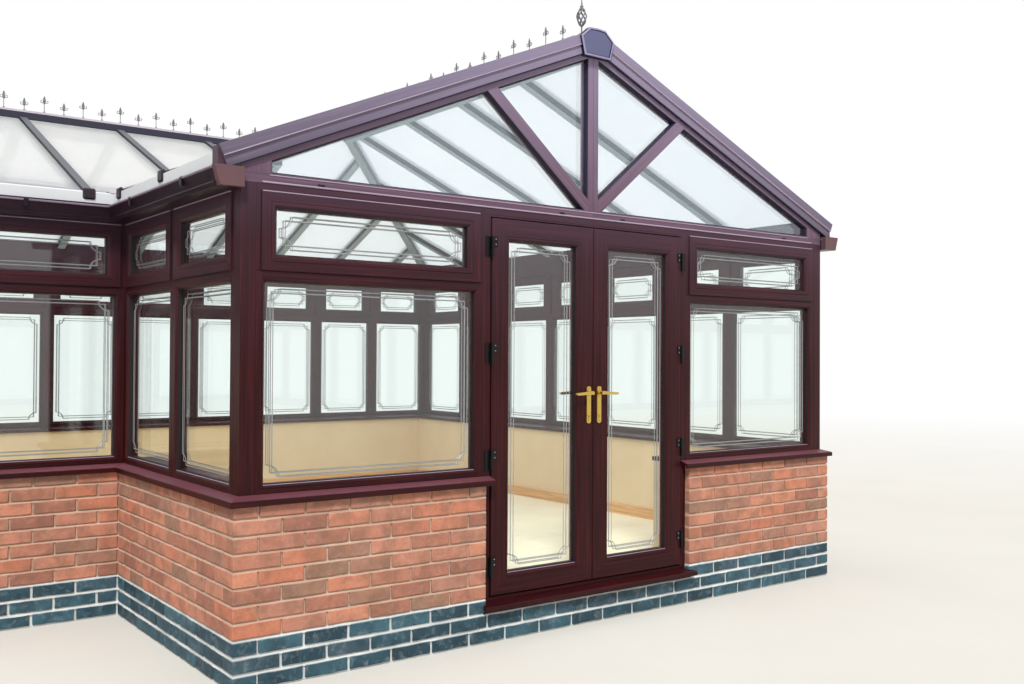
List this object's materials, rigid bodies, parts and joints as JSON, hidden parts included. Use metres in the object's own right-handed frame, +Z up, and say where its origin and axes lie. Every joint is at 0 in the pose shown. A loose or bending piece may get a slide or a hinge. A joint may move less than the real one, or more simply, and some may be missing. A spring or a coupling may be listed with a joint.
{
  "type": "gable conservatory",
  "caption": "L-shaped glazed garden room on dwarf brick walls, with a glazed gable front, French doors, a side wing and an opal sheet roof.",
  "frame": {"origin": "on the ground, under the middle of the doorway and the middle of the front wall's thickness", "axes": "+X to the right along the front, +Y back into the building, +Z up"},
  "size_m": [7.8075, 5.2225, 3.5372],
  "materials": {
    "red_brick": "rough red clay brick in stretcher bond with buff mortar",
    "blue_brick": "blue-grey engineering brick with pale mortar",
    "concrete": "smooth pale floor",
    "window_board": "dark woodgrain foil",
    "rosewood_plastic": "rosewood woodgrain foil, satin",
    "glass": "clear double glazing with leaded border",
    "roof_sheet": "opal fluted multiwall sheet",
    "roof_bar": "dark brown woodgrain cap, satin",
    "gutter_plastic": "dark brown, satin",
    "brass": "polished",
    "black_metal": "black, satin",
    "grey_plastic": "dark grey-brown, matt"
  },
  "bodies": {
    "root": {"apex_plates": "rosewood_plastic", "cills_front_and_rear": "rosewood_plastic", "cills_sides": "rosewood_plastic", "corner_posts": "rosewood_plastic", "door_cill": "rosewood_plastic", "door_frame": "rosewood_plastic", "eaves_beams_rear_and_wing": "rosewood_plastic", "eaves_beams_sides": "rosewood_plastic", "fanlight_panes": "glass", "fanlight_sashes": "rosewood_plastic", "finials": "grey_plastic", "floor_main": "concrete", "floor_wing": "concrete", "frame_front": "rosewood_plastic", "frame_left_end": "rosewood_plastic", "frame_rear": "rosewood_plastic", "frame_return": "rosewood_plastic", "frame_right": "rosewood_plastic", "frame_wing_front": "rosewood_plastic", "gable_fascias": "rosewood_plastic", "gable_frames": "rosewood_plastic", "gable_panes": "glass", "glazing_bars_main": "roof_bar", "glazing_bars_wing": "roof_bar", "gutter_end_boxes": "gutter_plastic", "gutters_rear_and_wing": "gutter_plastic", "gutters_sides": "gutter_plastic", "hip_and_valley": "roof_bar", "jamb_hinges": "black_metal", "link_hip": "roof_bar", "plinth_front_and_rear": "blue_brick", "plinth_sides": "blue_brick", "ridge_caps": "roof_bar", "ridge_cresting": "grey_plastic", "roof_sheets_main": "roof_sheet", "roof_sheets_wing": "roof_sheet", "wall_front": "red_brick", "wall_left_end": "red_brick", "wall_rear": "red_brick", "wall_return": "red_brick", "wall_right": "red_brick", "wall_wing_front": "red_brick", "window_boards_front_and_rear": "window_board", "window_boards_sides": "window_board", "window_panes": "glass"},
    "leaf_left": {"door_leaf_left": "rosewood_plastic", "door_pane_left": "glass", "door_hinges_left": "black_metal", "handle_plates_left": "brass"},
    "leaf_right": {"door_leaf_right": "rosewood_plastic", "door_pane_right": "glass", "door_hinges_right": "black_metal", "handle_plates_right": "brass"},
    "lever_left": {"lever_left": "brass"},
    "lever_right": {"lever_right": "brass"}
  },
  "joints": [
    {"name": "leaf_left_hinge", "type": "hinge", "parent": "root", "child": "leaf_left", "pos_m": [-0.7025, -0.128, 0.383], "axis": [0, 0, -1], "range_deg": [0, 90]},
    {"name": "leaf_right_hinge", "type": "hinge", "parent": "root", "child": "leaf_right", "pos_m": [0.7025, -0.128, 0.383], "axis": [0, 0, 1], "range_deg": [0, 90]},
    {"name": "lever_left_turn", "type": "hinge", "parent": "leaf_left", "child": "lever_left", "pos_m": [-0.0385, -0.165, 1.27], "axis": [0, -1, 0], "range_deg": [0, 40], "stiffness_Nm_per_rad": 1.5, "springref_deg": -34.38},
    {"name": "lever_right_turn", "type": "hinge", "parent": "leaf_right", "child": "lever_right", "pos_m": [0.0385, -0.165, 1.27], "axis": [0, 1, 0], "range_deg": [0, 40], "stiffness_Nm_per_rad": 1.5, "springref_deg": -34.38}
  ]
}
